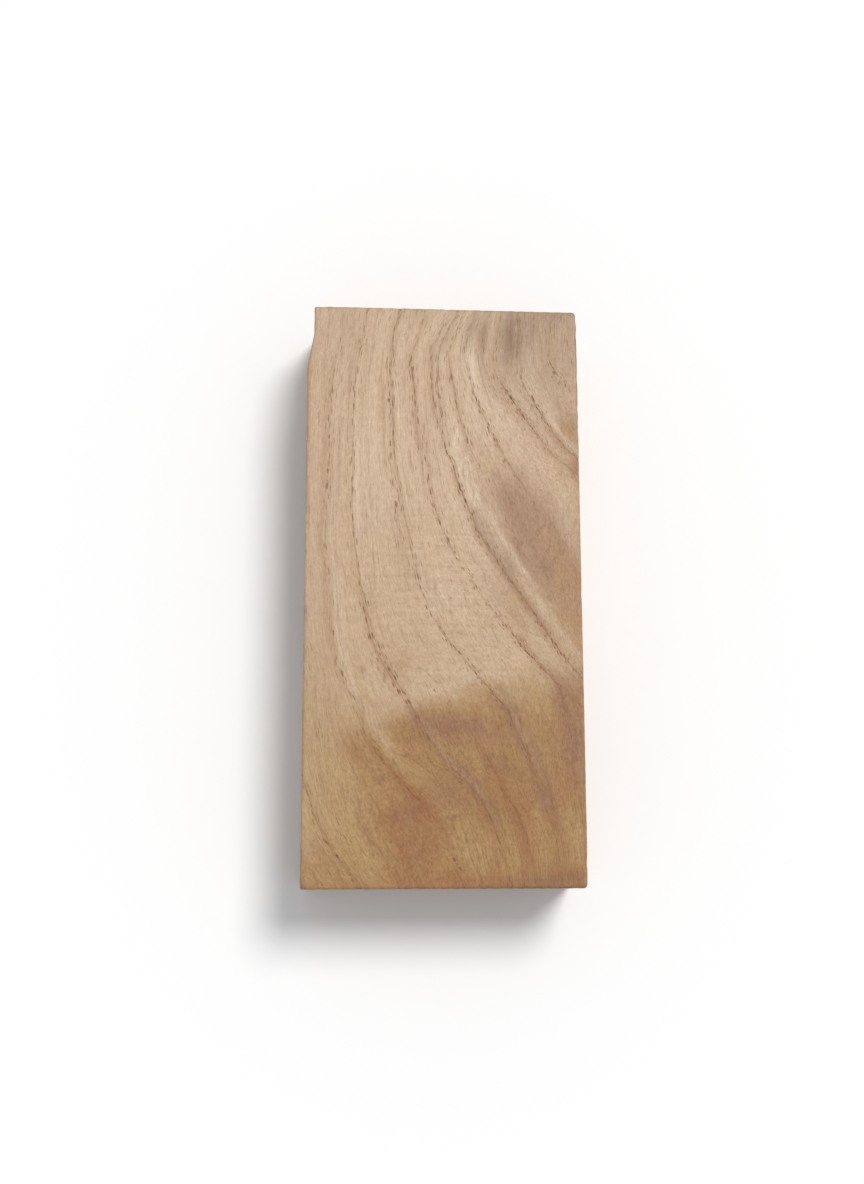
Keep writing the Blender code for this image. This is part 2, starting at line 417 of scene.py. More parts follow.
def line_place(line, along):
    """Where a line crosses the top face, as x for each place along it."""
    if line.between is None:
        return smooth_curve([(y, x) for x, y in line.points], along)
    left, right = (LINES[LINE_NUMBER[name]] for name in line.between)
    shares = []
    for x, y in line.points:
        left_x, right_x = (line_place(side, np.array([float(y)]))[0] for side in (left, right))
        shares.append((y, (x - left_x) / (right_x - left_x)))
    start = line_place(left, along)
    return start + smooth_curve(shares, along, hold=True) * (line_place(right, along) - start)


def line_radii(along):
    """The lines' distances from the pith, counted below zero, so that they rise from left to right."""
    places = np.array([line_place(line, along) for line in LINES])
    radii = -np.hypot(places - PITH_X, TOP - PITH_Z)
    for number in range(1, len(radii)):
        radii[number] = np.maximum(radii[number], radii[number - 1] + SMALLEST_GAP)
    return radii


def between_guides(radius, guides, values):
    """Values known on the guide lines, carried smoothly to the points between them."""
    columns = np.arange(radius.size)
    index = np.clip((guides <= radius).sum(0) - 1, 1, len(guides) - 3)
    knots = [guides[index + step, columns] for step in (-1, 0, 1, 2)]
    heights = [values[index + step, columns] for step in (-1, 0, 1, 2)]
    gaps = [b - a for a, b in zip(knots, knots[1:])]
    secants = [(b - a) / gap for a, b, gap in zip(heights, heights[1:], gaps)]
    slopes = []
    for before, after in zip(secants, secants[1:]):
        product = before * after
        harmonic = 2 * product / np.where(product > 0, before + after, 1.0)
        slopes.append(np.where(product > 0, harmonic, 0.0))
    share = (radius - knots[1]) / gaps[1]
    inside = np.clip(share, 0.0, 1.0)
    curve = cubic(inside, gaps[1], heights[1], heights[2], *slopes)
    return curve + (share - inside) * gaps[1] * secants[1]


class Figure:
    """The wood's growth at a set of points: its lines, the way its fibres run, and its tones."""

    GHOST_GAP = 10.0
    SLOPE_STEP = 0.5
    MEAN_RADIUS = 100.0
    FARTHEST = 110
    CLOUD_WAVES = 5
    CLOUD_STRETCH = (1.0, 0.35, 1.0)
    CLOUD_SUM = 3.0

    def __init__(self, points):
        self.x, self.y, self.z = points.T
        self.below = TOP - self.z
        self.along = self.y + LINE_LEAN * self.below
        reach_x = self.x - PITH_X
        reach_z = self.z - PITH_Z
        true_radius = np.hypot(reach_x, reach_z)
        self.to_pith = np.stack([-reach_x / true_radius, 0 * reach_x, -reach_z / true_radius], 1)
        self.round = np.arctan2(reach_z, -reach_x) * self.MEAN_RADIUS
        wander = np.sin(self.y / 17.0 + self.z / 9.0) + 0.6 * np.sin(self.y / 7.3 - self.x / 11.0 + 2.0)
        self.radius = -true_radius + LINE_WANDER * smooth_step(0, WANDER_DEPTH, self.below) * wander
        self.lines = line_radii(self.along)
        ahead = line_radii(self.along + self.SLOPE_STEP)
        behind = line_radii(self.along - self.SLOPE_STEP)
        self.slopes = (ahead - behind) / (2 * self.SLOPE_STEP)

    def guides(self, rows):
        """Rows on the main lines, with two more lines past each end."""
        rows = rows[MAIN_LINES]
        return np.concatenate([rows[:1], rows[:1], rows, rows[-1:], rows[-1:]])

    def spread(self, rows):
        """Values on the guide lines, carried to the points."""
        guides = self.guides(self.lines)
        for row, steps in ((0, -2), (1, -1), (-2, 1), (-1, 2)):
            guides[row] += steps * self.GHOST_GAP
        return between_guides(self.radius, guides, rows)

    def grain(self):
        """Places across, round and along the grain."""
        places = self.guides(np.array([line.grain or 0.0 for line in LINES]))
        places += self.GHOST_GAP * np.array([-2, -1] + [0] * len(MAIN_LINES) + [1, 2])
        across = self.spread(np.repeat(places[:, None], self.radius.size, 1))
        stations = np.arange(-self.FARTHEST, self.FARTHEST + 1.0)
        runs = np.hypot(np.diff(line_radii(stations), axis=1), 1.0).cumsum(1)
        runs = np.pad(runs, ((0, 0), (1, 0)))
        lengths = [np.interp(self.along, stations, run - run[self.FARTHEST]) for run in runs]
        return np.stack([across, self.round, self.spread(self.guides(np.array(lengths)))], 1)

    def fibre(self):
        """The direction of the fibres."""
        slope = self.spread(self.guides(self.slopes))
        way = self.to_pith * slope[:, None]
        way[:, 1] += 1.0
        return way / np.linalg.norm(way, axis=1)[:, None]

    def distances(self):
        """Distance to the right of each line, square to it."""
        return (self.radius - self.lines) / np.hypot(self.slopes, 1.0)

    def line_sets(self):
        """For each set, the distance to its nearest line, with that line's strength and brokenness."""
        distances = self.distances()
        strengths = np.array([np.interp(self.along, *zip(*sorted(line.strength))) for line in LINES])
        broken = np.array([line.broken for line in LINES])
        columns = np.arange(self.radius.size)
        sets = []
        for first in range(LINE_SETS):
            numbers = np.arange(first, len(LINES), LINE_SETS)
            nearest = numbers[np.abs(distances[numbers]).argmin(0)]
            distance = distances[nearest, columns]
            least = DEEP_STRENGTH * smooth_step(*DEEP_RANGE, self.below)
            strength = np.maximum(strengths[nearest, columns], least)
            strength *= 1 - smooth_step(*LINE_FADE, np.abs(distance))
            sets.append((np.clip(distance, -LINE_FADE[1], LINE_FADE[1]), strength, broken[nearest]))
        return [np.stack(column, 1) for column in zip(*sets)]

    def pits(self):
        """Distance across and along the grain from the nearest pit, with its darkness."""
        pits = np.array(PITS)
        offset = (self.x + 1j * self.y)[:, None] - (pits[:, 0] + 1j * pits[:, 1])
        nearest = np.abs(offset).argmin(1)
        offset = offset[np.arange(len(nearest)), nearest]
        _, _, length, width, darkness = pits[nearest].T
        way = self.fibre() @ (1, 1j, 0)
        turned = offset * way.conj() / np.abs(way)
        fade = (1 - smooth_step(*PIT_FADE, np.abs(offset))) * (1 - smooth_step(*PIT_DEPTHS, self.below))
        darkness = darkness * fade
        return np.stack([-turned.imag / width, turned.real / length, darkness], 1)

    def gold(self):
        """How far a point is inside the golden zone."""
        front = np.interp(self.x, *zip(*GOLD_FRONT)) + GOLD_DEPTH_SLOPE * self.below
        softness = np.interp(self.x, *zip(*GOLD_SOFTNESS)) + GOLD_DEPTH_SOFTNESS * self.below
        share = np.interp(self.x, *zip(*GOLD_SHARE))
        return share * smooth_step(-softness, softness, front - self.y)

    def broad(self, seed, size):
        """Slow random variation from -1 to 1, longer along the blank."""
        draw = np.random.default_rng(seed)
        total = np.zeros(self.x.size)
        for _ in range(self.CLOUD_WAVES):
            way = draw.normal(size=3) * self.CLOUD_STRETCH / size
            phase = draw.uniform(0, 2 * math.pi)
            total += np.sin(self.x * way[0] + self.y * way[1] + self.z * way[2] + phase)
        return total / self.CLOUD_SUM

    def tones(self):
        """How much of each tone there is, in the order of WOOD_TONES."""
        amounts = {tone: np.zeros(self.x.size) for tone in WOOD_TONES}
        amounts["gold"] += self.gold()
        fade = np.exp(-(self.below / PATCH_DEPTH) ** 2)
        for tone, patches in PATCHES.items():
            for x, y, half_width, half_length, turn, amount in patches:
                turned = (self.x - x + 1j * (self.y - y)) * np.exp(-1j * math.radians(turn))
                reach = np.hypot(turned.real / half_width, turned.imag / half_length)
                amounts[tone] += amount * fade * np.exp(-PATCH_FALL * reach ** 2)
        distances = self.distances()
        for tone, bands in BANDS.items():
            for line, offset, half_width, start, end, amount in bands:
                away = (distances[LINE_NUMBER[line]] - offset) / half_width
                run = smooth_step(-BAND_FADE, BAND_FADE, self.along - end)
                run = run * smooth_step(-BAND_FADE, BAND_FADE, start - self.along)
                amounts[tone] += amount * run * np.exp(-away ** 2)
        # Painted shade: a greyer rim along the far and right edges of the top face
        rim = np.exp(-(np.minimum(HALF_WIDTH - self.x, HALF_LENGTH - self.y) / RIM_WIDTH) ** 2)
        amounts["dusk"] += RIM_SHADE * rim * (1 - smooth_step(0.0, RIM_DEPTH, self.below))
        for tone, seed, size, least, swing, zone in DEEP_CLOUDS:
            cloud = np.clip(least + swing * self.broad(seed, size), 0, 1)
            amounts[tone] += (1 - fade) * cloud * (self.gold() if zone == "gold" else 1.0)
        return np.clip(np.stack(list(amounts.values()), 1), 0.0, 1.0)


# The lattice that the mesh is made on, in mm
LATTICE_STEP = (0.48, 0.86, 0.62)
EDGE_STEPS = (0.0, 0.1, 0.22, 0.36, 0.55, 0.8, 1.2)

# The box's sides on the flat map: axis, whether it's the upper one, and lower left corner in widths
MAP_SIDES = [
    (2, True, (0.0, 0.0)), (2, False, (1.02, 0.0)), (0, False, (2.04, 0.0)),
    (0, True, (2.42, 0.0)), (1, False, (0.0, 2.14)), (1, True, (1.02, 2.14)),
]
MAP_SIZE = 2.81

RIGHT_CORNER_RADIUS = 1.0
LEFT_CORNER_RADIUS = 0.5
ARRIS_RADIUS = 0.42
LEFT_TOP_ARRIS_RADIUS = 0.8
NEAR_TOP_ARRIS_RADIUS = 1.0

# How far from the left and the near edge their larger arrises reach, fading out
LEFT_WEAR = (2.0, 5.0)
NEAR_WEAR = (2.0, 6.0)

NOTCH_DEPTH = 1.7
NOTCH_STRAIGHT = 7.5
NOTCH_SLANT = 9.0
NOTCH_BLEND = 10.0


def lattice_stations(length, step):
    """Places from 0 to length, close together near both ends."""
    edge = EDGE_STEPS[-1]
    count = round((length - 2 * edge) / step)
    middle = np.linspace(edge, length - edge, count + 1)
    return np.concatenate([EDGE_STEPS[:-1], middle, length - np.array(EDGE_STEPS[:-1])[::-1]])


class Lattice:
    """The surface of a box as a lattice of quads, with a flat map of its six sides."""

    def __init__(self):
        lengths = (2 * HALF_WIDTH, 2 * HALF_LENGTH, TOP)
        self.stations = [lattice_stations(a, b) for a, b in zip(lengths, LATTICE_STEP)]
        self.counts = [len(row) for row in self.stations]
        self.keys = []
        self.maps = []
        for axis, upper, corner in MAP_SIDES:
            self.add_side(axis, upper, corner)
        corners = np.concatenate(self.keys)
        self.used, self.quads = np.unique(corners, return_inverse=True)
        self.quads = self.quads.reshape(-1, 4)
        self.map = np.concatenate(self.maps) / MAP_SIZE

    def add_side(self, axis, upper, corner):
        """One side of the box, mapped with its lower left at corner, in widths of the blank."""
        level = self.counts[axis] - 1 if upper else 0
        first, second = [a for a in range(3) if a != axis]
        rows, columns = np.meshgrid(
            np.arange(self.counts[first] - 1), np.arange(self.counts[second] - 1), indexing="ij"
        )
        turns = [(0, 0), (1, 0), (1, 1), (0, 1)]
        if upper == (axis == 1):
            turns = turns[::-1]
        keys = []
        places = []
        for right, up in turns:
            index = [np.full(rows.shape, level)] * 3
            index[first] = rows + right
            index[second] = columns + up
            keys.append((index[0] * self.counts[1] + index[1]) * self.counts[2] + index[2])
            place = [self.stations[first][index[first]], self.stations[second][index[second]]]
            if axis == 0:
                place.reverse()
            places.append(np.stack(place, -1) / (2 * HALF_WIDTH) + corner)
        self.keys.append(np.stack(keys, -1).reshape(-1))
        self.maps.append(np.stack(places, -2).reshape(-1, 2))

    def box_points(self):
        """The lattice's points on the plain box."""
        depth, height = self.counts[1], self.counts[2]
        x = self.stations[0][self.used // (depth * height)] - HALF_WIDTH
        y = self.stations[1][self.used // height % depth] - HALF_LENGTH
        z = self.stations[2][self.used % height]
        return np.stack([x, y, z], 1)


def arris_radius(x, y, z):
    """The rounding of the nearest arris, which is larger along the near and left edges of the top."""
    top = z > TOP / 2
    near = 1 - smooth_step(*NEAR_WEAR, y + HALF_LENGTH)
    left = 1 - smooth_step(*LEFT_WEAR, x + HALF_WIDTH)
    worn = 0.06 * np.sin(y / 5.3 + x / 4.1) + 0.05 * np.sin(y / 2.1 - x / 3.3 + z)
    radius = ARRIS_RADIUS + top * left * (LEFT_TOP_ARRIS_RADIUS - ARRIS_RADIUS)
    radius = radius + top * near * (NEAR_TOP_ARRIS_RADIUS - radius)
    return radius * (1 + worn)


def rounded_block(box):
    """Points and outward directions of the blank, from the points of a plain box."""
    x, y, z = box.T
    side_x = np.where(x < 0, -1.0, 1.0)
    side_y = np.where(y < 0, -1.0, 1.0)
    corner = np.where(x > 0, RIGHT_CORNER_RADIUS, LEFT_CORNER_RADIUS)
    from_x = HALF_WIDTH - np.abs(x)
    from_y = HALF_LENGTH - np.abs(y)
    in_x = np.maximum(corner - from_x, 0.0)
    in_y = np.maximum(corner - from_y, 0.0)
    reach = np.hypot(in_x, in_y)
    safe = np.maximum(reach, 1e-9)
    pull = np.where(reach > 0, np.maximum(in_x, in_y) / safe, 1.0)
    plan_x = x - side_x * in_x * (1 - pull)
    plan_y = y - side_y * in_y * (1 - pull)
    in_corner = (in_x > 0) & (in_y > 0)
    out_x = np.where(in_corner, in_x / safe, from_x < from_y) * side_x
    out_y = np.where(in_corner, in_y / safe, from_x >= from_y) * side_y

    radius = arris_radius(x, y, z)
    side_z = np.where(z < TOP / 2, -1.0, 1.0)
    from_side = np.minimum(from_x, from_y)
    from_face = np.minimum(z, TOP - z)
    outward = np.maximum(radius - from_side, 0.0)
    upward = np.maximum(radius - from_face, 0.0)
    length = np.hypot(outward, upward)
    keep = np.maximum(outward, upward) / length
    plan_x = plan_x - out_x * outward * (1 - keep)
    plan_y = plan_y - out_y * outward * (1 - keep)
    height = z - side_z * upward * (1 - keep)

    notch = np.clip(1 + (plan_y - HALF_LENGTH + NOTCH_STRAIGHT) / NOTCH_SLANT, 0.0, 1.0)
    beside = np.clip(1 - (plan_x + HALF_WIDTH) / NOTCH_BLEND, 0.0, 1.0)
    plan_x = plan_x + NOTCH_DEPTH * notch * beside

    points = np.stack([plan_x, plan_y, height], 1)
    ways = np.stack([out_x * outward, out_y * outward, side_z * upward], 1) / length[:, None]
    return points, ways


# Dents where the arrises have been knocked, and the share of them on the long arrises
DENTS = 46
DENT_SEED = 5
LONG_SHARE = 0.62
DENT_SIZES = (0.5, 1.3)
DENT_DEPTHS = (0.06, 0.22)
DENT_STRETCH = (1.0, 1.6, 1.0)


def dents(points):
    """How deep the surface is dented."""
    draw = np.random.default_rng(DENT_SEED)
    depth = np.zeros(len(points))
    for _ in range(DENTS):
        edge_x = draw.choice([-HALF_WIDTH, HALF_WIDTH])
        edge_y = draw.choice([-HALF_LENGTH, HALF_LENGTH])
        if draw.random() < LONG_SHARE:
            edge_y = draw.uniform(-HALF_LENGTH, HALF_LENGTH)
        else:
            edge_x = draw.uniform(-HALF_WIDTH, HALF_WIDTH)
        centre = np.array([edge_x, edge_y, draw.choice([0.0, TOP])])
        size = draw.uniform(*DENT_SIZES)
        away = np.linalg.norm((points - centre) / DENT_STRETCH, axis=1) / size
        depth = np.maximum(depth, draw.uniform(*DENT_DEPTHS) * np.exp(-away ** 4))
    return depth


# Relief in mm: slow hollows, saw marks on the ends and sides with their pitch, and furrows along the growth
# lines, which are deeper on the sawn faces
HOLLOW = 0.02
END_SAW = 0.022
END_SAW_PITCH = 2.7
END_SAW_X = -160.0
END_SAW_Z = -70.0
SIDE_SAW = 0.014
SIDE_SAW_PITCH = 3.9
FURROW = 0.05
SAWN_FURROW = 0.09
FURROW_WIDTH = 0.55

# Sides and ends are told by how far a surface faces sideways or lengthways
FACING = (0.5, 0.9)


def relief(points, ways, sets):
    """How far the surface lies inside the plain block."""
    x, y, z = points.T
    end = smooth_step(*FACING, np.abs(ways[:, 1]))
    side = smooth_step(*FACING, np.abs(ways[:, 0]))
    flat = 1 - end - side
    slow = HOLLOW * (1 + np.sin(x / 9.0 + y / 31.0) * np.cos(y / 23.0 - x / 14.0))
    arcs = np.hypot(x - END_SAW_X, z - END_SAW_Z) + 0.3 * np.sin(x / 3.0)
    sawn_end = END_SAW * (1 + np.sin(arcs * 2 * math.pi / END_SAW_PITCH))
    sweep = y + 0.35 * z + 0.5 * np.sin(z / 5.0)
    sawn_side = SIDE_SAW * (1 + np.sin(sweep * 2 * math.pi / SIDE_SAW_PITCH + 1.5 * np.sin(y / 17.0)))
    distances, strengths, _ = sets
    lines = (strengths * np.exp(-(distances / FURROW_WIDTH) ** 2)).max(1)
    furrows = (FURROW * flat + SAWN_FURROW * (1 - flat)) * lines
    return slow + end * sawn_end + side * sawn_side + furrows + dents(points)


# Along each arris of the top face: knots of (place, amount, width) for the warmer, darker tone on the arris
LEFT_EDGE = [(-75, 0.5, 0.8), (-62, 0.1, 0.6), (36, 0.1, 0.7), (40, 0.45, 1.2), (63, 0.5, 1.2),
             (66, 0.4, 1.3), (75, 0.3, 1.3)]
RIGHT_EDGE = [(-75, 0.5, 1.0), (-60, 0.25, 0.7), (-45, 0.05, 0.5), (75, 0.05, 0.5)]
FAR_EDGE = [(-36, 0.15, 0.7), (0, 0.05, 0.5), (36, 0.15, 0.7)]
NEAR_EDGE = [(-36, 0.45, 1.4), (-12, 0.45, 1.4), (0, 0.4, 1.5), (36, 0.2, 1.5)]
PLAIN_EDGE = [(-75, 0.2, 0.6), (75, 0.2, 0.6)]


def edge_tone(points):
    """How much the wood takes the warmer, darker tone of its arrises."""
    x, y, z = points.T
    from_top = TOP - z
    arrises = [
        (HALF_WIDTH + x, from_top, y, LEFT_EDGE),
        (HALF_WIDTH - x, from_top, y, RIGHT_EDGE),
        (HALF_LENGTH - y, from_top, x, FAR_EDGE),
        (HALF_LENGTH + y, from_top, x, NEAR_EDGE),
        (HALF_WIDTH - np.abs(x), z, y, PLAIN_EDGE),
        (HALF_LENGTH - np.abs(y), z, x, PLAIN_EDGE),
        (HALF_WIDTH - np.abs(x), HALF_LENGTH - np.abs(y), z, PLAIN_EDGE),
    ]
    tone = np.zeros(len(points))
    for inward, down, place, knots in arrises:
        at, amounts, widths = np.array(knots).T
        away = np.hypot(inward, down) / np.interp(place, at, widths)
        tone = np.maximum(tone, np.interp(place, at, amounts) * np.exp(-away ** 4))
    return tone


# Fibres that meet the surface this squarely show as end grain
END_GRAIN = (0.45, 0.95)

# The patch of the top face with strokes of sanding: x, y, half width, half length
SANDED = (-1, -2, 17, 24)


def added(name, data):
    """A new object in the scene."""
    made = bpy.data.objects.new(name, data)
    bpy.context.scene.collection.objects.link(made)
    return made


def wood_piece():
    lattice = Lattice()
    points, ways = rounded_block(lattice.box_points())
    figure = Figure(points)
    sets = figure.line_sets()
    points = points - ways * relief(points, ways, sets)[:, None]
    points = np.clip(points, np.array(cad_low) / MM, np.array(cad_high) / MM)

    mesh = bpy.data.meshes.new("hardwood_block")
    mesh.from_pydata((points * MM).tolist(), [], lattice.quads.tolist())
    mesh.shade_smooth()
    end = smooth_step(*END_GRAIN, np.abs((ways * figure.fibre()).sum(1)))
    x, y, half_width, half_length = SANDED
    sanded = np.exp(-((points[:, 0] - x) / half_width) ** 2 - ((points[:, 1] - y) / half_length) ** 2)
    attributes = dict(zip(LINE_ATTRIBUTES, sets))
    attributes["grain"] = figure.grain()
    attributes["pit"] = figure.pits()
    attributes["surface"] = np.stack([end, edge_tone(points), sanded], 1)
    attributes.update(zip(TONE_ATTRIBUTES, np.split(figure.tones(), len(TONE_ATTRIBUTES), 1)))
    for name, rows in attributes.items():
        made = mesh.attributes.new(name, "FLOAT_VECTOR", "POINT")
        made.data.foreach_set("vector", rows.astype(np.float32).ravel())

    bake = mesh.uv_layers.new(name="OFBake")
    bake.data.foreach_set("uv", lattice.map.astype(np.float32).ravel())
    mesh.materials.append(wood_material())
    piece = added("hardwood_block", mesh)
    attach(piece, "root")
    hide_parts("wood_blank")


def linear(tone):
    """A colour from 0 to 255 as linear light on the shader's scale."""
    share = np.array(tone) / 255.0
    light = np.where(share > 0.04045, ((share + 0.055) / 1.055) ** 2.4, share / 12.92)
    return (*(light * FLOOR_TONE), 1.0)


class Value:
    """A node's output, which takes part in sums and products through Math nodes."""

    def __init__(self, shade, socket):
        self.shade = shade
        self.socket = socket

    def __add__(self, other):
        return self.shade.math("ADD", self, other)

    def __sub__(self, other):
        return self.shade.math("SUBTRACT", self, other)

    def __rsub__(self, other):
        return self.shade.math("SUBTRACT", other, self)

    def __mul__(self, other):
        return self.shade.math("MULTIPLY", self, other)

    __radd__ = __add__
    __rmul__ = __mul__


class Shade:
    """The nodes of a material or a world, made by short calls."""

    NOISE_MIDDLE = 0.5
    NOISE_GAIN = 3.0
    CELL_RANDOMNESS = 0.9
    CELL_EDGE = (0.42, 0.2)

    def __init__(self, owner):
        owner.use_nodes = True
        self.tree = owner.node_tree
        self.tree.nodes.clear()

    def node(self, kind, inputs=(), **settings):
        made = self.tree.nodes.new(kind)
        for key, value in settings.items():
            setattr(made, key, value)
        for key, value in dict(inputs).items():
            if isinstance(value, Value):
                self.tree.links.new(value.socket, made.inputs[key])
            else:
                made.inputs[key].default_value = value
        return made

    def value(self, kind, inputs=(), output=0, **settings):
        """One output of a new node."""
        return Value(self, self.node(kind, inputs, **settings).outputs[output])

    def math(self, operation, *values):
        return self.value("ShaderNodeMath", dict(enumerate(values)), operation=operation)

    def attribute(self, name):
        return self.value("ShaderNodeAttribute", output="Vector", attribute_name=name)

    def parts(self, vector):
        made = self.node("ShaderNodeSeparateXYZ", {0: vector})
        return [Value(self, socket) for socket in made.outputs]

    def joined(self, *values):
        return self.value("ShaderNodeCombineXYZ", dict(enumerate(values)))

    def scaled(self, vector, scale, offset=(0.0, 0.0, 0.0)):
        return self.value("ShaderNodeVectorMath", {0: vector, 1: scale, 2: offset}, operation="MULTIPLY_ADD")

    def noise(self, vector, scale, detail, roughness, offset=(0.0, 0.0, 0.0)):
        """Smooth noise from about -1 to 1."""
        place = self.scaled(vector, scale, offset)
        inputs = {"Vector": place, "Scale": 1.0, "Detail": detail, "Roughness": roughness}
        return (self.value("ShaderNodeTexNoise", inputs) - self.NOISE_MIDDLE) * self.NOISE_GAIN

    def cells(self, vector, scale, offset):
        """A spot in the middle of each cell, and that cell's own random number."""
        place = self.scaled(vector, scale, offset)
        inputs = {"Vector": place, "Scale": 1.0, "Randomness": self.CELL_RANDOMNESS}
        made = self.node("ShaderNodeTexVoronoi", inputs)
        spot = self.step(Value(self, made.outputs["Distance"]), *self.CELL_EDGE)
        return spot, self.value("ShaderNodeSeparateColor", {0: Value(self, made.outputs["Color"])})

    def step(self, value, low, high):
        """0 below low and 1 above high, with a smooth rise between, or the other way round."""
        inputs = {"Value": value, "From Min": low, "From Max": high}
        return self.value("ShaderNodeMapRange", inputs, interpolation_type="SMOOTHSTEP")

    def bell(self, value, width):
        """1 where the value is 0, and almost nothing beyond twice the width."""
        share = self.math("DIVIDE", value, width)
        return self.math("EXPONENT", -1.0 * (share * share))

    def mix(self, amount, base, other):
        inputs = {"Factor": amount, 6: base, 7: other}
        return self.value("ShaderNodeMix", inputs, 2, data_type="RGBA", clamp_factor=True)

    def shaded(self, colour, light):
        """The colour made lighter or darker, and redder as it darkens."""
        factor = self.scaled(self.joined(light, light, light), SHADE_TINT, (1.0, 1.0, 1.0))
        return self.value("ShaderNodeVectorMath", {0: colour, 1: factor}, operation="MULTIPLY")


# How the growth lines are drawn, in mm: how far they waver, the half widths of their core, of its swelling at
# a pore, of their shadow and of two widths of nearness, and how far the shadow lies to the left
LINE_WAVER = 0.25
CORE_WIDTH = 0.19
CORE_SWELLING = 0.07
SHADOW_WIDTH = 0.6
SHADOW_SHIFT = 0.2
CLOSE_WIDTH = 0.55
NEAR_WIDTH = 1.5

# Noise along the lines, for their waver and for their pores: turns per mm, detail, roughness
WAVER_NOISE = ((0.25, 0.8, 1.0), 4.0, 0.62)
BEAD_NOISE = ((0.34, 1.6, 1.0), 2.0, 0.6)
BEAD_EDGE = (-0.1, 0.45)
BEAD_SHADOW = 0.7
SQUEEZE = 0.4
SET_SHIFT = 37.0


def growth_lines(shade, grain):
    """The growth lines' cores, their soft shadow, and two widths of nearness to them."""
    along = shade.parts(grain)[2]
    sets = zip(*(shade.parts(shade.attribute(name)) for name in LINE_ATTRIBUTES))
    core = close = shadow = near = 0.0
    for number, (distance, strength, broken) in enumerate(sets):
        shift = SET_SHIFT * number
        path = shade.joined(along, distance * SQUEEZE, shift)
        waver = shade.noise(path, *WAVER_NOISE, (shift, 0.0, 0.0))
        beads = shade.noise(path, *BEAD_NOISE, (0.0, shift, 0.0))
        place = distance + waver * LINE_WAVER
        chain = 1.0 - broken * (1.0 - shade.step(beads, *BEAD_EDGE))
        line = shade.bell(place, CORE_WIDTH + CORE_SWELLING * beads) * strength * chain
        shade_amount = strength * (BEAD_SHADOW + BEAD_SHADOW * beads)
        core = shade.math("MAXIMUM", line, core)
        close = shade.math("MAXIMUM", shade.bell(place, CLOSE_WIDTH) * strength, close)
        shadow = shadow + shade.bell(place + SHADOW_SHIFT, SHADOW_WIDTH) * shade_amount
        near = near + shade.bell(place, NEAR_WIDTH) * strength
    return {"core": core, "close": close, "shadow": shadow, "near": near}


# Noise layers: space, turns per mm, detail, roughness, offset. The turns are across, round and along the
# grain, or along the blank's own axes where the space is the place.
LAYERS = {
    "broad": ("grain", (0.34, 0.34, 0.011), 2.0, 0.55),
    "drift": ("grain", (0.33, 0.33, 0.026), 2.0, 0.55, (2.0, 9.0, 4.0)),
    "warmth": ("grain", (0.33, 0.33, 0.026), 2.0, 0.55, (31.0, 3.0, 6.0)),
    "streaks": ("grain", (1.05, 1.05, 0.055), 3.0, 0.55, (7.0, 0.0, 0.0)),
    "fibres": ("grain", (2.3, 2.3, 0.22), 3.0, 0.65, (0.0, 5.0, 0.0)),
    "threads": ("grain", (3.6, 3.6, 0.5), 2.0, 0.7, (3.0, 5.0, 1.0)),
    "rings": ("grain", (0.5, 0.03, 0.005), 3.0, 0.6, (13.0, 1.0, 5.0)),
    "veins": ("grain", (0.3, 0.3, 0.007), 1.0, 0.55, (5.0, 17.0, 8.0)),
    "rays": ("grain", (0.13, 0.13, 1.2), 3.0, 0.65, (6.0, 1.0, 2.0)),
    "spokes": ("grain", (0.22, 3.4, 0.3), 2.0, 0.6, (4.0, 8.0, 1.0)),
    "mottle": ("place", (0.55, 0.4, 0.55), 3.0, 0.6),
    "grains": ("place", (1.9, 1.5, 1.9), 2.0, 0.7, (9.0, 0.0, 0.0)),
    "strokes": ("place", (0.1, 0.8, 0.4), 4.0, 0.62, (0.0, 3.0, 0.0)),
}

# Marks where a layer passes a threshold: layer, where the mark starts, where it is full
THRESHOLDS = {
    "ticks": ("threads", 0.25, 0.75),
    # pale fibres beside the growth lines, with painted glints among them
    "flecks": ("threads", -0.3, -0.8),
    "hairs": ("fibres", 0.2, 0.9),
    "vein_runs": ("streaks", 0.5, -0.3),
}
VEIN_WIDTH = 0.07

# The pores' and the end grain's cells: turns per mm, offset
PORE_CELLS = ((2.0, 2.0, 0.3), (0.0, 0.0, 0.0))
VESSEL_CELLS = ((3.6, 3.6, 0.5), (1.0, 2.0, 3.0))
PORE_SOFTNESS = 0.05
PIT_EDGE = (0.7, 0.3)
PIT_LENGTH = 0.8

# Amounts of marks. Names with a space between stand for the product of their marks.
PORE_CHANCE = {"pale": 0.03, "near": 0.42, "close": 0.55}
PORE_CHANCE_ANYWHERE = 0.05
PIT_RAGGEDNESS = {"grains": 0.12, "threads": 0.12}
TONE_RAGGEDNESS = {"mottle": 0.576, "streaks": 1.28, "fibres": 0.448}
EDGE_RAGGEDNESS = {"mottle": 0.4}
LIGHTNESS = {
    "broad": 0.05, "streaks": 0.075, "rings": 0.02, "end rings": 0.18, "end spokes": 0.14,
    "fibres": 0.22, "sanded fibres": -0.1, "threads": 0.23, "grains": 0.13, "gold grains": 0.08,
    "mottle": 0.02, "gold mottle": 0.04, "strokes": 0.03, "sanded strokes": 0.22, "gold rays": 0.09,
    # pale fibres and painted glints beside the growth lines
    "near flecks": 0.17, "gold near flecks": 0.1, "shadow": -0.07, "near ticks": -0.32, "hairs": -0.06,
    "veins vein_runs": -0.15, "end vessels": -0.26, "end close": -0.3, "end near": -0.12,
}
HEIGHT = {
    "fibres": 0.008, "streaks": 0.006, "strokes": 0.003, "sanded strokes": 0.004, "core": -0.09,
    "pores": -0.05, "pits": -0.2, "end vessels": -0.05,
}
ROUGHNESS = {"streaks": 0.05, "pores": 0.2, "core": 0.2, "end": 0.12}
PLAIN_ROUGHNESS = 0.56
SPECULAR = 0.35
BUMP_STRENGTH = 0.8

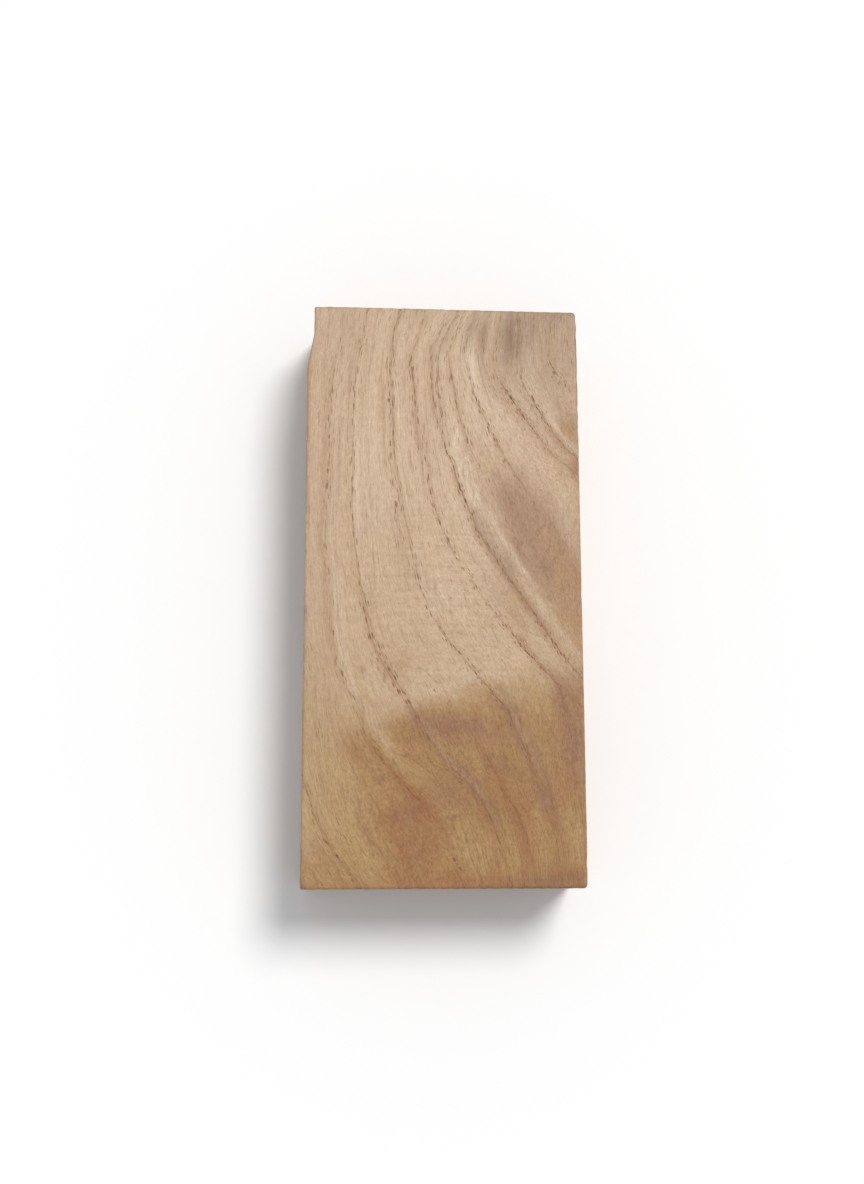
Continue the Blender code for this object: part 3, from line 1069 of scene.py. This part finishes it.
# Slow drifts towards a tone: zone, layer, where the drift starts and is full, amount, tone
DRIFTS = [
    ("calm", "drift", 0.0, 0.7, 0.4, "olive"), ("gold", "warmth", 0.05, 0.7, 0.35, "red"),
    ("gold", "drift", -0.1, -0.8, 0.35, "violet"), ("pale", "warmth", 0.0, 0.8, 0.22, "olive"),
    ("pale", "warmth", 0.0, -0.8, 0.25, "rose"), ("pale", "drift", 0.0, 0.8, 0.2, "tan"),
]

# The golden zone is calmer where it is red, and the tones' edges are smoother on the end grain
RED_CALM = 0.5
END_CALM = 0.7

# Tones of the end grain, and of the dark marks over everything else
END_COVER = (END_TONE, {"end": 0.45, "end rings": -0.25})
DARK_COVERS = [
    (PORE_TONE, {"pores": 0.24, "near pores": 0.4, "close pores": 0.3}),
    (LINE_TONE, {"core": 0.37}),
    (LINE_TONE, {"pits": 0.7}),
]


def total(marks, amounts, start=0.0):
    """The sum of the marks times their amounts."""
    for names, amount in amounts.items():
        for name in names.split():
            amount = amount * marks[name]
        start = start + amount
    return start


def wood_tones(shade):
    tones = []
    for name in TONE_ATTRIBUTES:
        tones += shade.parts(shade.attribute(name))
    return dict(zip(WOOD_TONES, tones))


def wood_marks(shade, tones):
    """Every mark and zone that the wood's look is made of, by its name."""
    grain = shade.attribute("grain")
    place = shade.scaled(shade.value("ShaderNodeTexCoord", output="Object"), (1 / MM, 1 / MM, 1 / MM))
    spaces = {"grain": grain, "place": place}
    gold = tones["gold"]
    marks = {"gold": gold, "pale": 1.0 - gold, "calm": gold * (1.0 - RED_CALM * tones["red"])}
    marks["end"], marks["edge"], marks["sanded"] = shade.parts(shade.attribute("surface"))
    for name, (space, *settings) in LAYERS.items():
        marks[name] = shade.noise(spaces[space], *settings)
    for name, (layer, low, high) in THRESHOLDS.items():
        marks[name] = shade.step(marks[layer], low, high)
    marks["veins"] = shade.bell(marks["veins"], VEIN_WIDTH)
    marks.update(growth_lines(shade, grain))

    spots, chance = shade.cells(grain, *PORE_CELLS)
    chance = chance - total(marks, PORE_CHANCE, PORE_CHANCE_ANYWHERE)
    marks["pores"] = spots * shade.step(chance, PORE_SOFTNESS, -PORE_SOFTNESS)
    marks["vessels"], _ = shade.cells(grain, *VESSEL_CELLS)
    across, along, darkness = shade.parts(shade.attribute("pit"))
    reach = shade.math("SQRT", across * across + along * along * PIT_LENGTH)
    marks["pits"] = shade.step(total(marks, PIT_RAGGEDNESS, reach), *PIT_EDGE) * darkness
    return marks


def wood_material():
    material = bpy.data.materials.new("hardwood_grain")
    shade = Shade(material)
    tones = wood_tones(shade)
    marks = wood_marks(shade, tones)
    tones["edge"] = marks["edge"] * total(marks, EDGE_RAGGEDNESS, 1.0)
    ragged = total(marks, TONE_RAGGEDNESS) * (1.0 - END_CALM * marks["end"])

    colour = linear(PALE)
    for tone, amount in tones.items():
        if tone != "edge":
            amount = amount + ragged * amount * (1.0 - amount)
        colour = shade.mix(amount, colour, linear(WOOD_TONES[tone]))
    for zone, layer, low, high, amount, tone in DRIFTS:
        amount = marks[zone] * shade.step(marks[layer], low, high) * amount
        colour = shade.mix(amount, colour, linear(WOOD_TONES[tone]))
    tone, amounts = END_COVER
    colour = shade.mix(total(marks, amounts), colour, linear(tone))
    colour = shade.shaded(colour, total(marks, LIGHTNESS))
    for tone, amounts in DARK_COVERS:
        colour = shade.mix(total(marks, amounts), colour, linear(tone))

    bump = {"Height": total(marks, HEIGHT), "Strength": BUMP_STRENGTH, "Distance": MM}
    shader = shade.value("ShaderNodeBsdfPrincipled", {
        "Base Color": colour,
        "Roughness": total(marks, ROUGHNESS, PLAIN_ROUGHNESS),
        "Specular IOR Level": SPECULAR,
        "Normal": shade.value("ShaderNodeBump", bump),
    })
    shade.node("ShaderNodeOutputMaterial", {0: shader})
    return material


FLOOR_REACH = 3.0
FLOOR_DROP = 0.00004


def floor():
    mesh = bpy.data.meshes.new("floor")
    corners = [(-1, -1), (1, -1), (1, 1), (-1, 1)]
    places = [(x * FLOOR_REACH, y * FLOOR_REACH, -FLOOR_DROP) for x, y in corners]
    mesh.from_pydata(places, [], [(0, 1, 2, 3)])
    material = bpy.data.materials.new("pale_floor")
    shade = Shade(material)
    tone = (FLOOR_TONE, FLOOR_TONE, FLOOR_TONE, 1.0)
    inputs = {"Base Color": tone, "Roughness": 1.0, "Specular IOR Level": 0.0}
    shader = shade.value("ShaderNodeBsdfPrincipled", inputs)
    shade.node("ShaderNodeOutputMaterial", {0: shader})
    mesh.materials.append(material)
    added("floor", mesh)


# The camera's place and aim, both measured from the middle of the top face, with its roll and lens
CAMERA_PLACE = (-27.19, -63.61, 343.85)
CAMERA_AIM = (-3.05, -1.05, 0.0)
CAMERA_ROLL = 0.12
CAMERA_LENS = 41.9
CAMERA_SENSOR = 36.0
CAMERA_CLIPS = (0.01, 20.0)


def camera():
    data = bpy.data.cameras.new("camera")
    data.lens = CAMERA_LENS
    data.sensor_fit = "AUTO"
    data.sensor_width = CAMERA_SENSOR
    data.clip_start, data.clip_end = CAMERA_CLIPS
    made = added("camera", data)
    top = Vector((0.0, 0.0, TOP * MM))
    place = Vector(CAMERA_PLACE) * MM + top
    aim = Vector(CAMERA_AIM) * MM + top
    forward = (aim - place).normalized()
    right = forward.cross(Vector((0.0, 1.0, 0.0))).normalized()
    up = right.cross(forward)
    turn = Matrix((right, up, -forward)).transposed()
    roll = Matrix.Rotation(math.radians(CAMERA_ROLL), 3, forward)
    made.matrix_world = Matrix.Translation(place) @ (roll @ turn).to_4x4()
    bpy.context.scene.camera = made


# A wide soft lamp up at the far right, and even white light from all round
LAMP_WAY = (10.7, 15.0, 25.0)
LAMP_SPREAD = 25.0
LAMP_STRENGTH = 2.35
LAMP_TONE = (1.018, 1.0, 0.982)
ROOM_LIGHT = 0.565
ROOM_TONE = (0.98, 1.0, 1.02, 1.0)
SEEN_TONE = (1.0, 1.0, 1.0, 1.0)


def light():
    data = bpy.data.lights.new("soft_lamp", "SUN")
    data.energy = LAMP_STRENGTH
    data.color = LAMP_TONE
    data.angle = math.radians(LAMP_SPREAD)
    made = added("soft_lamp", data)
    made.rotation_mode = "QUATERNION"
    made.rotation_quaternion = Vector(LAMP_WAY).to_track_quat("Z", "Y")

    world = bpy.data.worlds.new("white_room")
    shade = Shade(world)
    room = shade.value("ShaderNodeBackground", {"Color": ROOM_TONE, "Strength": ROOM_LIGHT})
    seen = shade.value("ShaderNodeBackground", {"Color": SEEN_TONE})
    by_camera = shade.value("ShaderNodeLightPath", output="Is Camera Ray")
    either = shade.value("ShaderNodeMixShader", {0: by_camera, 1: room, 2: seen})
    shade.node("ShaderNodeOutputWorld", {0: either})
    bpy.context.scene.world = world
    bpy.context.scene.view_settings.view_transform = "Standard"


camera()
light()
floor()
wood_piece()
